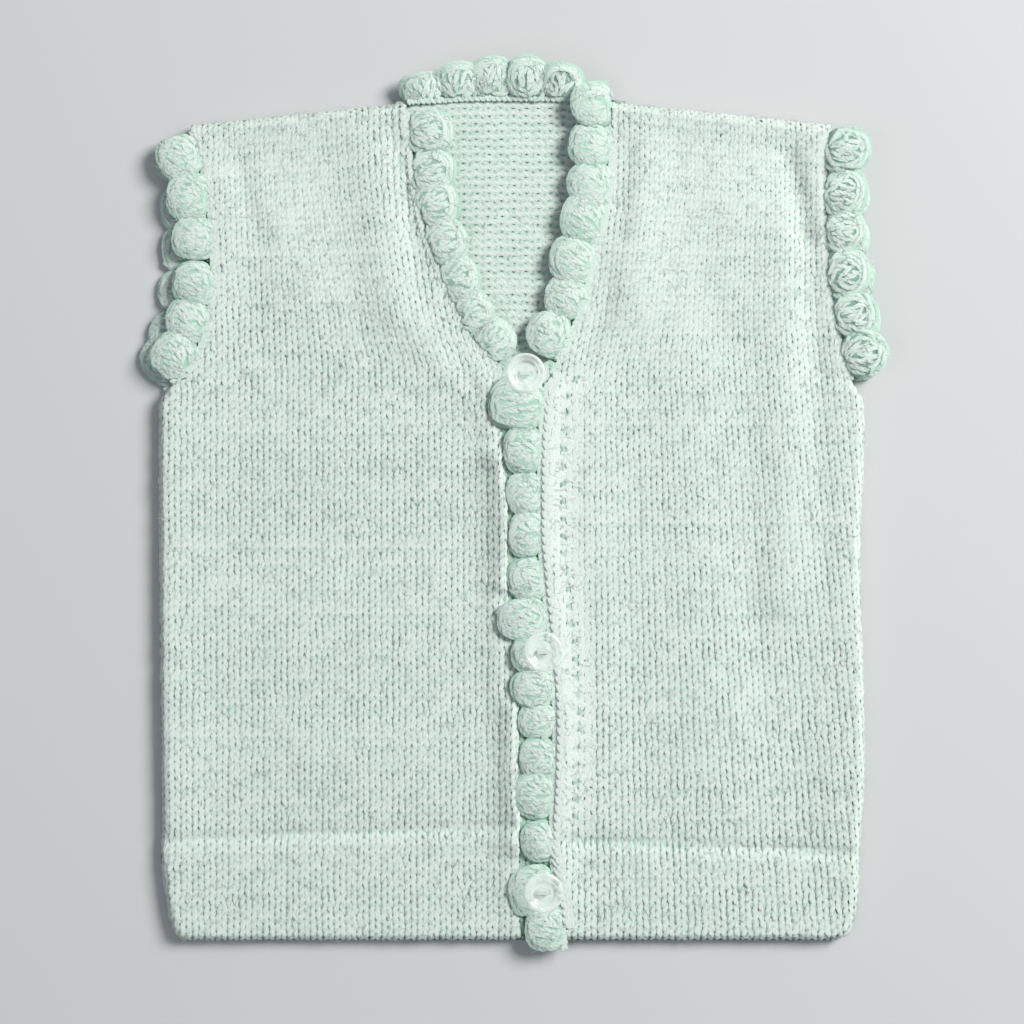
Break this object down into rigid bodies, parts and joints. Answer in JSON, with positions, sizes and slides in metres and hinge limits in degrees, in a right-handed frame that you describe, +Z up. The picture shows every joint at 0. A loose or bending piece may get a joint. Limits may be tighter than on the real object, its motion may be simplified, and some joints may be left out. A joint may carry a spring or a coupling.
{
  "type": "baby's knitted vest",
  "caption": "Sleeveless V-neck baby's vest in stocking stitch, laid flat and buttoned, with crochet shell edgings at neck, front and armholes and clear round buttons.",
  "frame": {"origin": "a point on the back's flat underside, near the middle of the vest, on the surface it lies on", "axes": "+X towards the wearer's left (right as the vest is seen from above), +Y from the hem to the neck, +Z up off the surface"},
  "size_m": [0.2326, 0.2789, 0.0113],
  "materials": {
    "mint_yarn": "soft matt baby yarn in pale mint, lightly fuzzy",
    "clear_button": "clear polished resin"
  },
  "bodies": {
    "root": {"back": "mint_yarn", "front_right": "mint_yarn", "front_left": "mint_yarn", "button_band": "mint_yarn", "edging_front": "mint_yarn", "edging_neck_right": "mint_yarn", "edging_neck_left": "mint_yarn", "edging_neck_back": "mint_yarn", "edging_armhole_right_front": "mint_yarn", "edging_armhole_right_back": "mint_yarn", "edging_armhole_left_front": "mint_yarn", "edging_armhole_left_back": "mint_yarn", "button_top": "clear_button", "button_middle": "clear_button", "button_bottom": "clear_button"}
  },
  "joints": []
}
